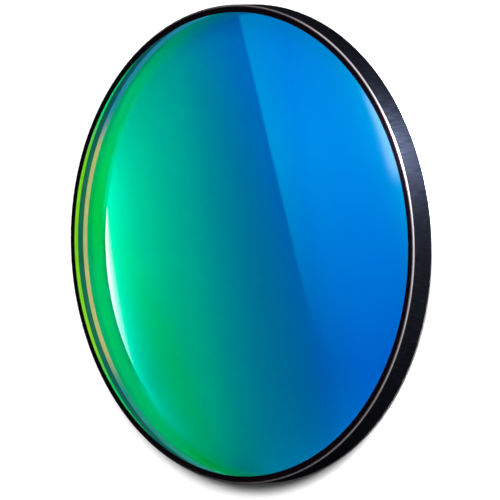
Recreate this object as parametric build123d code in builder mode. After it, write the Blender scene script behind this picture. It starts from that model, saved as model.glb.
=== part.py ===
from build123d import *
from math import sqrt
import os

# Unmounted round bandpass filter of the kind that drops into a 2 inch filter wheel.
# A plane-parallel glass disc carries the interference coating on its polished faces. Its ground edge is
# blackened with lacquer, which also covers both bevels and stands as a narrow rim on the front face.
# The disc lies on its rear face: the origin is the middle of that face, and +Z points out of the front face.
# All sizes are in millimetres.

# Glass disc
filter_diameter = 50.4  # over the lacquer
glass_thickness = 3.0  # between the polished faces
front_bevel = 0.25  # leg of the ground bevel round the front face
rear_bevel = 0.35  # leg of the ground bevel round the rear face

# Edge lacquer
edge_film = 0.05  # thickness on the edge and on both bevels
rim_film = 0.03  # height of the rim above the front face
rim_width = 0.52  # from the front bevel to the rim's inner edge
rear_margin = 0.04  # height where the lacquer ends on the rear bevel, clear of whatever the disc lies on
shoulder_radius = 0.12  # between the rim's top and the front bevel
edge_radius = 0.04  # between each bevel and the edge
feather_radius = 0.02  # along the rim's inner edge

# Radii where the glass and the lacquer meet
glass_radius = filter_diameter / 2 - edge_film
front_face_radius = glass_radius - front_bevel
rear_face_radius = glass_radius - rear_bevel
clear_radius = front_face_radius - rim_width


# Glass disc, one solid with a 45 degree bevel round each face
with BuildPart() as filter_glass:
    Cylinder(glass_radius, glass_thickness, align=(Align.CENTER, Align.CENTER, Align.MIN))
    chamfer(filter_glass.edges().group_by(Axis.Z)[-1], length=front_bevel)
    chamfer(filter_glass.edges().group_by(Axis.Z)[0], length=rear_bevel)
filter_glass.part.label = "filter_glass"


# A film on a 45 degree bevel, measured along the radius, and the length by which it passes the bevel's corner
film_across_bevel = edge_film * sqrt(2)
film_past_corner = film_across_bevel - edge_film

# Points of the lacquer's section, as (radius, height)
lacquer_radius = glass_radius + edge_film
rim_top = glass_thickness + rim_film
clear_edge = (clear_radius, glass_thickness)
front_bevel_inner = (front_face_radius, glass_thickness)
front_bevel_outer = (glass_radius, glass_thickness - front_bevel)
rear_bevel_outer = (glass_radius, rear_bevel)
lacquer_end = (rear_face_radius + rear_margin, rear_margin)
lacquer_end_skin = (rear_face_radius + rear_margin + film_across_bevel, rear_margin)
edge_foot = (lacquer_radius, rear_bevel - film_past_corner)
edge_top = (lacquer_radius, glass_thickness - front_bevel + film_past_corner)
shoulder = (front_face_radius + film_across_bevel - rim_film, rim_top)
feather = (clear_radius, rim_top)


def corner_at(sketch, point):
    """The corner of a sketch at a point (radius, height)."""
    return sketch.vertices().sort_by_distance(point)[0]


# Lacquer jacket, one closed ring that follows the glass from the rim down to the foot of the rear bevel
with BuildPart() as edge_lacquer:
    with BuildSketch(Plane.XZ) as section:
        with BuildLine():
            Polyline(
                clear_edge,
                front_bevel_inner,
                front_bevel_outer,
                rear_bevel_outer,
                lacquer_end,
                lacquer_end_skin,
                edge_foot,
                edge_top,
                shoulder,
                feather,
                close=True,
            )
        make_face()
        fillet(corner_at(section, shoulder), radius=shoulder_radius)
        fillet(corner_at(section, edge_top), radius=edge_radius)
        fillet(corner_at(section, edge_foot), radius=edge_radius)
        fillet(corner_at(section, feather), radius=feather_radius)
    revolve(axis=Axis.Z)
edge_lacquer.part.label = "edge_lacquer"


os.makedirs("parts", exist_ok=True)
export_step(filter_glass.part, "parts/filter_glass.step")
export_step(edge_lacquer.part, "parts/edge_lacquer.step")
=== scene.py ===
import math

import bpy
from mathutils import Matrix, Vector

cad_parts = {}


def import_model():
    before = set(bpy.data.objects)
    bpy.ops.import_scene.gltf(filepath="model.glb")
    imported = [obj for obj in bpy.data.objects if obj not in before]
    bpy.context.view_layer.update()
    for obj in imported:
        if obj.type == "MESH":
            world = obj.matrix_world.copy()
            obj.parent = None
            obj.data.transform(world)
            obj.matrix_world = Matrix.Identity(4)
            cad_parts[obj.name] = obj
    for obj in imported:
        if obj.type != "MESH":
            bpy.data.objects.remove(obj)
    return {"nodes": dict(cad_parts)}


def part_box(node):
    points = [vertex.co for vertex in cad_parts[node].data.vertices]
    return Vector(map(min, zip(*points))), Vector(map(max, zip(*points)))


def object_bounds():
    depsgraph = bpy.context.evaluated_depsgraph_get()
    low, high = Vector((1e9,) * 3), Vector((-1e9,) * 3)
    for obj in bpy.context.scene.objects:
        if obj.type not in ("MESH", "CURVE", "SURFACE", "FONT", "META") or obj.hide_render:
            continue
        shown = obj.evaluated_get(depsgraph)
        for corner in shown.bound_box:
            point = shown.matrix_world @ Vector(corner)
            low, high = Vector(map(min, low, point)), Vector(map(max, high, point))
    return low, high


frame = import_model()
cad_low, cad_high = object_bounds()

# Unmounted round bandpass filter, lying on its rear face under plain studio light.
# Lengths are in metres, or in millimetres where a comment says so.
# +Z is the optical axis, and the photograph looks from -Y with +X up in the picture.

GLASS = frame["nodes"]["filter_glass"]
LACQUER = frame["nodes"]["edge_lacquer"]
GLASS_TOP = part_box("filter_glass")[1].z
GLASS_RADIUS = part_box("filter_glass")[1].x
DISC_RADIUS = cad_high.x
OPENING_RADIUS = 0.02438  # inner edge of the rim
BEVEL_FOOT = 0.00277  # height where the jacket's front bevel starts
MM = 0.001

# Upward parts of a face's normal that tell the surfaces apart
FLAT_NORMAL = 0.99
RIM_NORMAL = 0.95
BEVEL_NORMAL = 0.5
WALL_NORMAL = 0.1

# Camera, from a fit to the outline, the face and the visible edge of the disc in the photograph
PICTURE_SIDE = 500
ELEVATION = math.radians(45.95)
ROLL = math.radians(-92.14)
DISTANCE = 32 * DISC_RADIUS
PIXELS_PER_RADIUS = 240.0
FACE_OFFSET_RIGHT = -0.0508 * DISC_RADIUS
FACE_OFFSET_UP = 0.0232 * DISC_RADIUS
SENSOR = 36.0

# Coated glass. Its index is lower than real, which gives the bands by the far edge the photograph's widths.
GLASS_IOR = 1.15
GREEN_LEAN = -0.10  # how far the lines of equal green lean from X
BLUE_LEAN = -0.45
BLUE_FAN = -12.0  # how fast the spacing of the lines of equal blue changes along X, per metre
BLUE_REACH = 0.027  # how far from the middle the blue still changes
BRIM_START = 0.0242  # the green rises from this distance from the axis
BRIM_END = 0.0247  # until this one
BRIM_GAIN = 1.18  # by this factor
WALL_SPLIT = (0.44, 0.47)  # where the wall's lower colour gives way to its upper one, as shares of its height

# Lacquer
STROKES_AROUND = 90  # how fast the brush marks change around the edge, per radian
STROKES_ALONG = 300  # and along the axis, per metre

# Floor and surroundings
FLOOR_HALF = 0.15
FLOOR_DROP = 0.00005
FLOOR_IN_GLOSS = 0.03  # its shade in reflections
AMBIENT = 0.08  # how bright the surroundings are for matt surfaces
GLASS_LIGHT = 1.36  # and for rays that come through the glass
GLOSS_FRONT = (0.08, 0.42)  # in gloss, they fade between these two Y parts of the direction
GLOSS_LOW_END = (-0.9, -0.1)  # and rise to full between these two X parts
GLOSS_LOW_LIGHT = 0.10  # from this share

# Card that the mirror shows, and the colours of the lights on it, each as strong as it shines
CARD_DISTANCE = 0.25
CARD_MARGIN = 1.3
DARK_CARD = (0.0, 0.075, 0.3)
CRESCENT_LIGHT = (460.0, 0.8, 2.2)
FAR_GLOW = (0.0, 2.55, 2.15)
HALF_LIGHT = (0.0, 1.0, 0.62)
BLOOM_LIGHT = (80.0, 1.1, 0.5)
NEAR_GLOW = (0.0, 1.4, 0.5)
LOW_GLOW = (0.0, 0.4, 0.45)

# Lamps: name, direction from the disc, distance, side, watts, colour, and whether gloss and glass show it
WHITE = (1.0, 1.0, 1.0)
LAMPS = (
    ("key", (0.8, -1.1, 2.2), 0.6, 0.25, 4.9, WHITE, False),
    ("glint", (0.50, -0.575, 0.646), 0.6, 0.16, 1.0, WHITE, True),
    ("edge_light", (0.369, -0.929, 0.16), 0.0305, 0.004, 0.0150, (0.93, 1.0, 1.12), False),
    ("edge_fill", (-0.139, -0.99, 0.15), 0.04, 0.01, 0.0026, WHITE, False),
)


# Node helpers. In math_node, product and falling, each value is a number or another node's output.

def math_node(tree, operation, first, second=None, third=None, clamp=False):
    """A Math node with one to three values."""
    made = tree.nodes.new("ShaderNodeMath")
    made.operation = operation
    made.use_clamp = clamp
    for socket, value in zip(made.inputs, (first, second, third)):
        if isinstance(value, bpy.types.NodeSocket):
            tree.links.new(value, socket)
        elif value is not None:
            socket.default_value = value
    return made.outputs[0]


def product(tree, first, *others):
    """All values multiplied."""
    for other in others:
        first = math_node(tree, "MULTIPLY", first, other)
    return first


def map_range(tree, value, low, high, to_low=0.0, to_high=1.0, smooth=False):
    """Maps low..high to to_low..to_high and stays inside."""
    made = tree.nodes.new("ShaderNodeMapRange")
    made.interpolation_type = "SMOOTHSTEP" if smooth else "LINEAR"
    made.clamp = True
    tree.links.new(value, made.inputs["Value"])
    for name, number in (("From Min", low), ("From Max", high), ("To Min", to_low), ("To Max", to_high)):
        made.inputs[name].default_value = number
    return made.outputs["Result"]


def ramp(tree, position, stops):
    """A colour ramp with stops of (position, linear colour)."""
    made = tree.nodes.new("ShaderNodeValToRGB")
    made.color_ramp.interpolation = "LINEAR"
    elements = made.color_ramp.elements
    while len(elements) > 1:
        elements.remove(elements[-1])
    elements[0].position = stops[0][0]
    elements[0].color = (*stops[0][1], 1)
    for place, colour in stops[1:]:
        elements.new(place).color = (*colour, 1)
    tree.links.new(position, made.inputs["Fac"])
    return made.outputs["Color"]


def level_ramp(tree, position, stops):
    """A grey ramp with stops of (position, level)."""
    return ramp(tree, position, [(place, (level,) * 3) for place, level in stops])


def mix_colour(tree, share, first, second):
    """Passes from the first colour to the second; each is a linear colour or another node's output."""
    made = tree.nodes.new("ShaderNodeMix")
    made.data_type = "RGBA"
    tree.links.new(share, made.inputs["Factor"])
    for name, colour in (("A", first), ("B", second)):
        socket = next(s for s in made.inputs if s.name == name and s.type == "RGBA")
        if isinstance(colour, bpy.types.NodeSocket):
            tree.links.new(colour, socket)
        else:
            socket.default_value = (*colour, 1)
    return next(s for s in made.outputs if s.type == "RGBA")


def object_axes(tree):
    """Outputs X, Y and Z of the object's own coordinates, in metres."""
    place = tree.nodes.new("ShaderNodeTexCoord")
    split = tree.nodes.new("ShaderNodeSeparateXYZ")
    tree.links.new(place.outputs["Object"], split.inputs["Vector"])
    return split.outputs["X"], split.outputs["Y"], split.outputs["Z"]


def distance_from_axis(tree, x, y):
    """Distance of a point from the optical axis."""
    return math_node(tree, "SQRT", math_node(tree, "MULTIPLY_ADD", x, x, product(tree, y, y)))


def falling(tree, value, reach, power=1):
    """exp(-(value / reach) ** power), and 1 for a value below zero."""
    scaled = math_node(tree, "DIVIDE", value, reach)
    scaled = math_node(tree, "MAXIMUM", scaled, 0)
    scaled = math_node(tree, "POWER", scaled, power)
    return math_node(tree, "EXPONENT", product(tree, scaled, -1))


# Materials

def new_material(name):
    """A node material with a Principled shader that feeds its output; returns the material and the shader."""
    material = bpy.data.materials.new(name)
    material.use_nodes = True
    material.node_tree.nodes.clear()
    shader = material.node_tree.nodes.new("ShaderNodeBsdfPrincipled")
    output = material.node_tree.nodes.new("ShaderNodeOutputMaterial")
    material.node_tree.links.new(shader.outputs["BSDF"], output.inputs["Surface"])
    return material, shader


def front_glass():
    """Polished clear glass under an anti-reflection coating."""
    material, shader = new_material("front_glass")
    shader.inputs["Base Color"].default_value = (1, 1, 1, 1)
    shader.inputs["Transmission Weight"].default_value = 1
    shader.inputs["Roughness"].default_value = 0
    shader.inputs["IOR"].default_value = GLASS_IOR
    shader.inputs["Specular IOR Level"].default_value = 0
    return material


def rear_coating():
    """Interference mirror under the glass. Its green and blue drift across the disc, each in its own way; the
    drift is partly painted reflection, standing for the colours the coating shows at other angles and for
    what it reflects.
    """
    material, shader = new_material("rear_coating")
    tree = material.node_tree
    x, y, _ = object_axes(tree)
    # Painted reflection: these ramps set how bright the green and blue are across the disc.
    green_way = math_node(tree, "MULTIPLY_ADD", x, GREEN_LEAN, y)
    green = level_ramp(tree, map_range(tree, green_way, -GLASS_RADIUS, GLASS_RADIUS), (
        (0.00, 0.19), (0.18, 0.185), (0.30, 0.175), (0.34, 0.155), (0.41, 0.19), (0.49, 0.235), (0.55, 0.295),
        (0.61, 0.385), (0.67, 0.52), (0.76, 0.65), (0.80, 0.70), (0.85, 0.73), (1.00, 0.80),
    ))
    blue_way = product(tree, y, math_node(tree, "MULTIPLY_ADD", x, BLUE_FAN, 1.0))
    blue_way = math_node(tree, "MULTIPLY_ADD", x, BLUE_LEAN, blue_way)
    blue = level_ramp(tree, map_range(tree, blue_way, -BLUE_REACH, BLUE_REACH), (
        (0.11, 0.84), (0.20, 0.82), (0.27, 0.79), (0.32, 0.72), (0.37, 0.62), (0.43, 0.46), (0.48, 0.385),
        (0.54, 0.345), (0.60, 0.322), (0.66, 0.30), (0.74, 0.25), (0.80, 0.22), (0.86, 0.14), (0.90, 0.155),
        (0.94, 0.23), (0.98, 0.29),
    ))
    brim = map_range(tree, distance_from_axis(tree, x, y), BRIM_START, BRIM_END, 1.0, BRIM_GAIN)
    colour = tree.nodes.new("ShaderNodeCombineColor")
    tree.links.new(product(tree, green, brim), colour.inputs["Green"])
    tree.links.new(blue, colour.inputs["Blue"])
    tree.links.new(colour.outputs["Color"], shader.inputs["Base Color"])
    shader.inputs["Roughness"].default_value = 0
    shader.inputs["Metallic"].default_value = 0.25
    shader.inputs["IOR"].default_value = 3.25
    shader.inputs["Specular Tint"].default_value = (0.006, 0.6, 1.0, 1)
    return material


def shift_hue(tree, x, start, span, middle, low_end, high_end):
    """Passes from the middle's colour to those of the disc's low and high ends along X.
    The change starts at a share of the radius on each side and takes a span of it."""
    colour = middle
    for way, end in ((-GLASS_RADIUS, low_end), (GLASS_RADIUS, high_end)):
        share = map_range(tree, x, way * start, way * (start + span), smooth=True)
        colour = mix_colour(tree, share, colour, end)
    return colour


def glass_wall():
    """Ground wall of the glass, with painted light: its colours stand for the light and reflections the glass
    shows at its edge, light above, dark below, and of other hues toward the disc's two ends along X.
    """
    material, shader = new_material("glass_wall")
    tree = material.node_tree
    x, _, z = object_axes(tree)
    height = map_range(tree, z, 0, GLASS_TOP)

    def bands(lower, upper):
        below, above = WALL_SPLIT
        return ramp(tree, height, ((0.00, lower), (below, lower), (above, upper), (1.00, upper)))

    # Painted light: bright lime above, dark teal below, changing hue toward the disc's ends.
    colour = shift_hue(
        tree, x, start=0.36, span=0.24,
        middle=bands((0.001, 0.17, 0.12), (0.66, 0.93, 0.001)),
        low_end=bands((0.001, 0.13, 0.13), (0.001, 0.75, 0.13)),
        high_end=bands((0.001, 0.12, 0.16), (0.001, 1.0, 0.25)),
    )
    tree.links.new(colour, shader.inputs["Base Color"])
    shader.inputs["Roughness"].default_value = 0.6
    return material


def rear_bevel():
    """Fine ground bevel round the rear face."""
    material, shader = new_material("rear_bevel")
    tree = material.node_tree
    x, _, _ = object_axes(tree)
    colour = shift_hue(tree, x, start=0.40, span=0.20, middle=(0.72, 0.57, 0.22),
                       low_end=(0.003, 0.32, 0.27), high_end=(0.005, 0.34, 0.55))
    tree.links.new(colour, shader.inputs["Base Color"])
    shader.inputs["Roughness"].default_value = 0.7
    return material


def black_lacquer():
    """Satin black lacquer with fine brush marks along the axis."""
    material, shader = new_material("black_lacquer")
    tree = material.node_tree
    x, y, z = object_axes(tree)
    around = math_node(tree, "ARCTAN2", y, x)
    strokes = tree.nodes.new("ShaderNodeCombineXYZ")
    tree.links.new(product(tree, around, STROKES_AROUND), strokes.inputs["X"])
    tree.links.new(product(tree, z, STROKES_ALONG), strokes.inputs["Y"])
    noise = tree.nodes.new("ShaderNodeTexNoise")
    noise.inputs["Scale"].default_value = 2
    noise.inputs["Detail"].default_value = 4
    tree.links.new(strokes.outputs["Vector"], noise.inputs["Vector"])
    colour = ramp(tree, noise.outputs["Fac"], (
        (0.30, (0.0019, 0.0020, 0.0031)),
        (0.50, (0.0033, 0.0038, 0.0058)),
        (0.70, (0.0053, 0.0062, 0.0095)),
    ))
    tree.links.new(colour, shader.inputs["Base Color"])
    shader.inputs["Roughness"].default_value = 0.4
    shader.inputs["IOR"].default_value = 1.04
    return material


def rim_lacquer():
    """The flat rim round the front face, plain and deep black."""
    material, shader = new_material("rim_lacquer")
    shader.inputs["Base Color"].default_value = (0.002, 0.001, 0.002, 1)
    shader.inputs["Roughness"].default_value = 0.2
    shader.inputs["IOR"].default_value = 1.2
    return material


def rim_back():
    """Underside of the rim, which only the mirror shows.
    It glows with painted light, stronger in places along X, which stands for the light that the glass traps
    at its edge."""
    material, shader = new_material("rim_back")
    tree = material.node_tree
    x, _, _ = object_axes(tree)
    # Painted glow: emission strength along X.
    light = level_ramp(tree, map_range(tree, x, -GLASS_RADIUS, GLASS_RADIUS), (
        (0.09, 0.14), (0.16, 0.28), (0.23, 0.10), (0.26, 0.0), (0.50, 0.0), (0.55, 0.10), (0.60, 0.45),
        (0.66, 0.50), (0.78, 0.28), (0.84, 0.17), (0.90, 0.12),
    ))
    tree.links.new(light, shader.inputs["Emission Strength"])
    shader.inputs["Base Color"].default_value = (0.001, 0.6, 0.5, 1)
    shader.inputs["Roughness"].default_value = 0.6
    shader.inputs["Emission Color"].default_value = (0.0, 1.0, 0.87, 1)
    return material


def bevel_lacquer():
    """The same lacquer on the front bevel, glossy, with a painted highlight: a bright line between its dark
    edges.
    """
    material, shader = new_material("bevel_lacquer")
    tree = material.node_tree
    _, _, z = object_axes(tree)
    # Painted highlight: bright in the middle of the bevel's height, dark at its edges.
    colour = ramp(tree, map_range(tree, z, BEVEL_FOOT, cad_high.z), (
        (0.00, (0.006, 0.006, 0.007)),
        (0.16, (0.012, 0.011, 0.012)),
        (0.42, (0.62, 0.56, 0.60)),
        (0.62, (0.30, 0.27, 0.29)),
        (0.90, (0.008, 0.007, 0.008)),
    ))
    tree.links.new(colour, shader.inputs["Base Color"])
    shader.inputs["Metallic"].default_value = 0.85
    shader.inputs["Roughness"].default_value = 0.2
    return material


# Which face gets which material

def glass_surface(face):
    """Which surface of the glass disc a face lies on."""
    rise = face.normal.z
    if rise > FLAT_NORMAL:
        return "front"
    if rise < -FLAT_NORMAL:
        return "rear"
    if rise < -BEVEL_NORMAL:
        return "rear_bevel"
    return "wall"


def lacquer_surface(face):
    """Which surface of the lacquer a face lies on. What touches the glass looks as the glass does there."""
    rise = face.normal.z
    height = face.center.z
    inward = face.normal.x * face.center.x + face.normal.y * face.center.y < 0
    if inward and rise > BEVEL_NORMAL and height < GLASS_TOP / 2:
        return "rear_bevel"
    if inward and height < GLASS_TOP:
        return "inside"
    if rise < -BEVEL_NORMAL and height > GLASS_TOP / 2:
        return "rim_back"
    if inward or rise > RIM_NORMAL:
        return "rim"
    if rise > WALL_NORMAL:
        return "bevel"
    return "wall"


def paint_faces(piece, materials, surface):
    """Gives each face of a piece the material of the surface that it lies on."""
    mesh = piece.data
    mesh.materials.clear()
    names = list(materials)
    for name in names:
        mesh.materials.append(materials[name])
    for face in mesh.polygons:
        face.material_index = names.index(surface(face))


def dress():
    """Gives every surface of the two pieces its material."""
    wall = glass_wall()
    ground = rear_bevel()
    paint_faces(GLASS, {
        "front": front_glass(),
        "rear": rear_coating(),
        "wall": wall,
        "rear_bevel": ground,
    }, glass_surface)
    paint_faces(LACQUER, {
        "wall": black_lacquer(),
        "rim": rim_lacquer(),
        "bevel": bevel_lacquer(),
        "inside": wall,
        "rear_bevel": ground,
        "rim_back": rim_back(),
    }, lacquer_surface)


# Floor

def stage_square(name, centre, side, across):
    """A square stage piece round a centre, with its half sides given as two vectors."""
    corners = (centre - side - across, centre + side - across, centre + side + across, centre - side + across)
    mesh = bpy.data.meshes.new(name)
    mesh.from_pydata([tuple(corner) for corner in corners], [], [(0, 1, 2, 3)])
    piece = bpy.data.objects.new(name, mesh)
    bpy.context.scene.collection.objects.link(piece)
    return piece


def floor():
    """Pale floor just under the disc, with the shadow on it. From below it is clear."""
    piece = stage_square("studio_floor", Vector((0, 0, -FLOOR_DROP)), Vector((FLOOR_HALF, 0, 0)),
                         Vector((0, FLOOR_HALF, 0)))
    material, shader = new_material("studio_floor")
    tree = material.node_tree
    path = tree.nodes.new("ShaderNodeLightPath")
    shade = map_range(tree, path.outputs["Is Glossy Ray"], 0, 1, 1.0, FLOOR_IN_GLOSS)
    tree.links.new(shade, shader.inputs["Base Color"])
    shader.inputs["Roughness"].default_value = 1
    shader.inputs["Specular IOR Level"].default_value = 0
    side = tree.nodes.new("ShaderNodeNewGeometry")
    clear = tree.nodes.new("ShaderNodeBsdfTransparent")
    choice = tree.nodes.new("ShaderNodeMixShader")
    tree.links.new(side.outputs["Backfacing"], choice.inputs["Fac"])
    tree.links.new(shader.outputs["BSDF"], choice.inputs[1])
    tree.links.new(clear.outputs["BSDF"], choice.inputs[2])
    output = next(n for n in tree.nodes if n.type == "OUTPUT_MATERIAL")
    tree.links.new(choice.outputs["Shader"], output.inputs["Surface"])
    piece.data.materials.append(material)


# Reflected card. Its pattern is laid out on the front face, so its numbers are millimetres there.

def exit_point(tree):
    """Where the ray that meets the card leaves the front face, and how far along Y it went through the glass.
    Every mirrored ray seems to come from the eye's own image under the glass, so the place is on a line from
    there through the card's point."""
    x, y, z = object_axes(tree)
    eye = eye_place()[3]
    shift = 2 * GLASS_TOP * math.tan(math.asin(math.cos(ELEVATION) / GLASS_IOR))
    depth = eye.z - GLASS_TOP
    image = Vector((eye.x, eye.y + shift, GLASS_TOP - depth))
    ratio = math_node(tree, "DIVIDE", depth / MM, math_node(tree, "SUBTRACT", z, image.z))
    exit_x = math_node(tree, "MULTIPLY_ADD", math_node(tree, "SUBTRACT", x, image.x), ratio, image.x / MM)
    exit_y = math_node(tree, "MULTIPLY_ADD", math_node(tree, "SUBTRACT", y, image.y), ratio, image.y / MM)
    return exit_x, exit_y, shift / MM


def inside_opening(tree, x, y):
    """How far a point lies inside the opening's edge."""
    return math_node(tree, "SUBTRACT", OPENING_RADIUS / MM, distance_from_axis(tree, x, y))


def far_crescent(tree, x, y):
    """Thin bright crescent along the far edge of the opening, dimmer at the disc's low end."""
    middle, widest, half_length, thinnest = -4.0, 1.35, 9.0, 0.01
    aside = math_node(tree, "SUBTRACT", x, middle)
    width = math_node(tree, "MULTIPLY_ADD", product(tree, aside, aside), -widest / half_length ** 2, widest)
    width = math_node(tree, "MAXIMUM", width, thinnest)
    depth = math_node(tree, "DIVIDE", inside_opening(tree, x, y), width)
    strip = math_node(tree, "POWER", math_node(tree, "SUBTRACT", 1, depth, clamp=True), 1.2)
    far = math_node(tree, "GREATER_THAN", y, 0)
    return product(tree, strip, far, map_range(tree, x, -12, -3, 0.25, 1.0))


def far_glow(tree, x, y):
    """Glow inside the crescent, which reaches less far in toward the disc's low end."""
    middle, half_length = -3.0, 13.0
    reach = map_range(tree, x, -14, -2, 0.8, 3.4)
    far = math_node(tree, "GREATER_THAN", y, 0)
    aside = math_node(tree, "ABSOLUTE", math_node(tree, "SUBTRACT", x, middle))
    return product(tree, falling(tree, inside_opening(tree, x, y), reach), far,
                   falling(tree, aside, half_length, power=3))


def slanting_half(tree, x, y):
    """Bright half beyond a slanting edge, which fades out toward the disc's low end."""
    slope, start = 0.273, -7.98
    edge = math_node(tree, "MULTIPLY_ADD", x, slope, start)
    softness = map_range(tree, x, -12, -4, 1.5, 0.15, smooth=True)
    lit = math_node(tree, "DIVIDE", math_node(tree, "SUBTRACT", edge, y), softness)
    lit = math_node(tree, "MULTIPLY_ADD", lit, 0.5, 0.5, clamp=True)
    low_end = map_range(tree, x, -13, 9, 0, 1)
    high_end = map_range(tree, x, 12, 22, 1.0, 0.65)
    near_side = map_range(tree, y, -24, -4, 0.6, 1.0)
    return product(tree, lit, low_end, high_end, near_side)


def near_glow(tree, x, y, centre, length, width, sharpness=1):
    """Glow along the near rim, brightest at one place of it and with edges as sharp as asked."""
    near = map_range(tree, y, -5, 1, 1.0, 0.0, smooth=True)
    aside = math_node(tree, "ABSOLUTE", math_node(tree, "SUBTRACT", x, centre))
    return product(tree, falling(tree, inside_opening(tree, x, y), width, sharpness),
                   falling(tree, aside, length, 2 * sharpness), near)


def add_lights(tree, lights, shown):
    """Feeds the output with the sum of lights of (strength, colour), where they are shown."""
    total = None
    for strength, colour in lights:
        glowing = tree.nodes.new("ShaderNodeEmission")
        glowing.inputs["Color"].default_value = (*colour, 1)
        tree.links.new(product(tree, shown, strength), glowing.inputs["Strength"])
        if total is None:
            total = glowing.outputs["Emission"]
        else:
            both = tree.nodes.new("ShaderNodeAddShader")
            tree.links.new(total, both.inputs[0])
            tree.links.new(glowing.outputs["Emission"], both.inputs[1])
            total = both.outputs[0]
    output = tree.nodes.new("ShaderNodeOutputMaterial")
    tree.links.new(total, output.inputs["Surface"])


def reflected_card():
    """Graded card that only the disc's mirror shows: bright rims, a dark middle and a slanting half."""
    away = Vector((0, math.cos(ELEVATION), math.sin(ELEVATION)))
    side = Vector((1, 0, 0))
    half = CARD_MARGIN * DISC_RADIUS * (1 + CARD_DISTANCE / DISTANCE)
    centre = Vector((0, 0, GLASS_TOP)) + away * CARD_DISTANCE
    piece = stage_square("reflected_card", centre, side * half, side.cross(away) * half)
    piece.visible_camera = False
    piece.visible_diffuse = False
    piece.visible_shadow = False

    material = bpy.data.materials.new("reflected_card")
    material.use_nodes = True
    tree = material.node_tree
    tree.nodes.clear()
    # It shines only on rays that come through the glass and have met no matt surface, so it lights nothing.
    path = tree.nodes.new("ShaderNodeLightPath")
    first = math_node(tree, "LESS_THAN", path.outputs["Diffuse Depth"], 0.5)
    shown = product(tree, first, path.outputs["Is Transmission Ray"])
    # The far lights follow the edge that a ray passes on its way out. The others lie where the eye sees them.
    x, y, shift = exit_point(tree)
    seen_y = math_node(tree, "SUBTRACT", y, shift)
    bloom_width = map_range(tree, x, 9.0, 16.0, 1.1, 0.25)
    add_lights(tree, (
        (1.0, DARK_CARD),
        (far_crescent(tree, x, y), CRESCENT_LIGHT),
        (far_glow(tree, x, y), FAR_GLOW),
        (slanting_half(tree, x, seen_y), HALF_LIGHT),
        (near_glow(tree, x, seen_y, centre=10.6, length=4.3, width=bloom_width, sharpness=3), BLOOM_LIGHT),
        (near_glow(tree, x, seen_y, centre=10.0, length=8.5, width=1.7), NEAR_GLOW),
        (near_glow(tree, x, seen_y, centre=-23.0, length=7.0, width=3.0), LOW_GLOW),
    ), shown)
    piece.data.materials.append(material)


# Surroundings, lamps and camera

def world():
    """White surroundings for the camera and through the glass, and soft dim ones as a light.
    In gloss they are white in front of the disc, darker toward its low end and dim behind it."""
    made = bpy.data.worlds.new("studio")
    bpy.context.scene.world = made
    made.use_nodes = True
    tree = made.node_tree
    tree.nodes.clear()
    path = tree.nodes.new("ShaderNodeLightPath")
    place = tree.nodes.new("ShaderNodeTexCoord")
    split = tree.nodes.new("ShaderNodeSeparateXYZ")
    tree.links.new(place.outputs["Generated"], split.inputs["Vector"])
    front = map_range(tree, split.outputs["Y"], *GLOSS_FRONT, 1.0, 0.0, smooth=True)
    high = map_range(tree, split.outputs["X"], *GLOSS_LOW_END, GLOSS_LOW_LIGHT, 1.0)
    gloss = product(tree, path.outputs["Is Glossy Ray"], front, high)
    seen = math_node(tree, "MAXIMUM", path.outputs["Is Camera Ray"], gloss)
    strength = math_node(tree, "MULTIPLY_ADD", seen, 1 - AMBIENT, AMBIENT)
    through_glass = product(tree, path.outputs["Is Transmission Ray"], GLASS_LIGHT)
    strength = math_node(tree, "MAXIMUM", strength, through_glass)
    background = tree.nodes.new("ShaderNodeBackground")
    background.inputs["Color"].default_value = (1, 1, 1, 1)
    tree.links.new(strength, background.inputs["Strength"])
    output = tree.nodes.new("ShaderNodeOutputWorld")
    tree.links.new(background.outputs["Background"], output.inputs["Surface"])


def softbox(name, direction, distance, size, power, colour, mirrored):
    """A square soft light that looks at the origin from a direction. Gloss and glass show it if mirrored."""
    data = bpy.data.lights.new(name, "AREA")
    data.shape = "SQUARE"
    data.size = size
    data.energy = power
    data.color = colour
    lamp = bpy.data.objects.new(name, data)
    bpy.context.scene.collection.objects.link(lamp)
    away = Vector(direction).normalized()
    lamp.location = away * distance
    lamp.rotation_mode = "QUATERNION"
    lamp.rotation_quaternion = away.to_track_quat("Z", "Y")
    lamp.visible_camera = False
    lamp.visible_glossy = mirrored
    lamp.visible_transmission = mirrored


def eye_place():
    """The camera's axes and place, which put the middle of the front face where the photograph has it."""
    back = Vector((0, -math.cos(ELEVATION), math.sin(ELEVATION)))
    level = Vector((1, 0, 0))
    rise = back.cross(level)
    right = level * math.cos(ROLL) + rise * math.sin(ROLL)
    up = rise * math.cos(ROLL) - level * math.sin(ROLL)
    place = Vector((0, 0, GLASS_TOP)) + back * DISTANCE - right * FACE_OFFSET_RIGHT - up * FACE_OFFSET_UP
    return right, up, back, place


def camera():
    """Camera at the photograph's angle, distance and framing."""
    right, up, back, place = eye_place()
    data = bpy.data.cameras.new("camera")
    data.sensor_width = SENSOR
    data.lens = SENSOR * PIXELS_PER_RADIUS * (DISTANCE / DISC_RADIUS) / PICTURE_SIDE
    data.clip_start = DISTANCE / 100
    data.clip_end = DISTANCE * 10
    eye = bpy.data.objects.new("camera", data)
    bpy.context.scene.collection.objects.link(eye)
    turn = Matrix((right, up, back)).transposed().to_4x4()
    eye.matrix_world = Matrix.Translation(place) @ turn
    bpy.context.scene.camera = eye


dress()
floor()
reflected_card()
world()
for lamp in LAMPS:
    softbox(*lamp)
camera()
bpy.context.scene.view_settings.view_transform = "Standard"
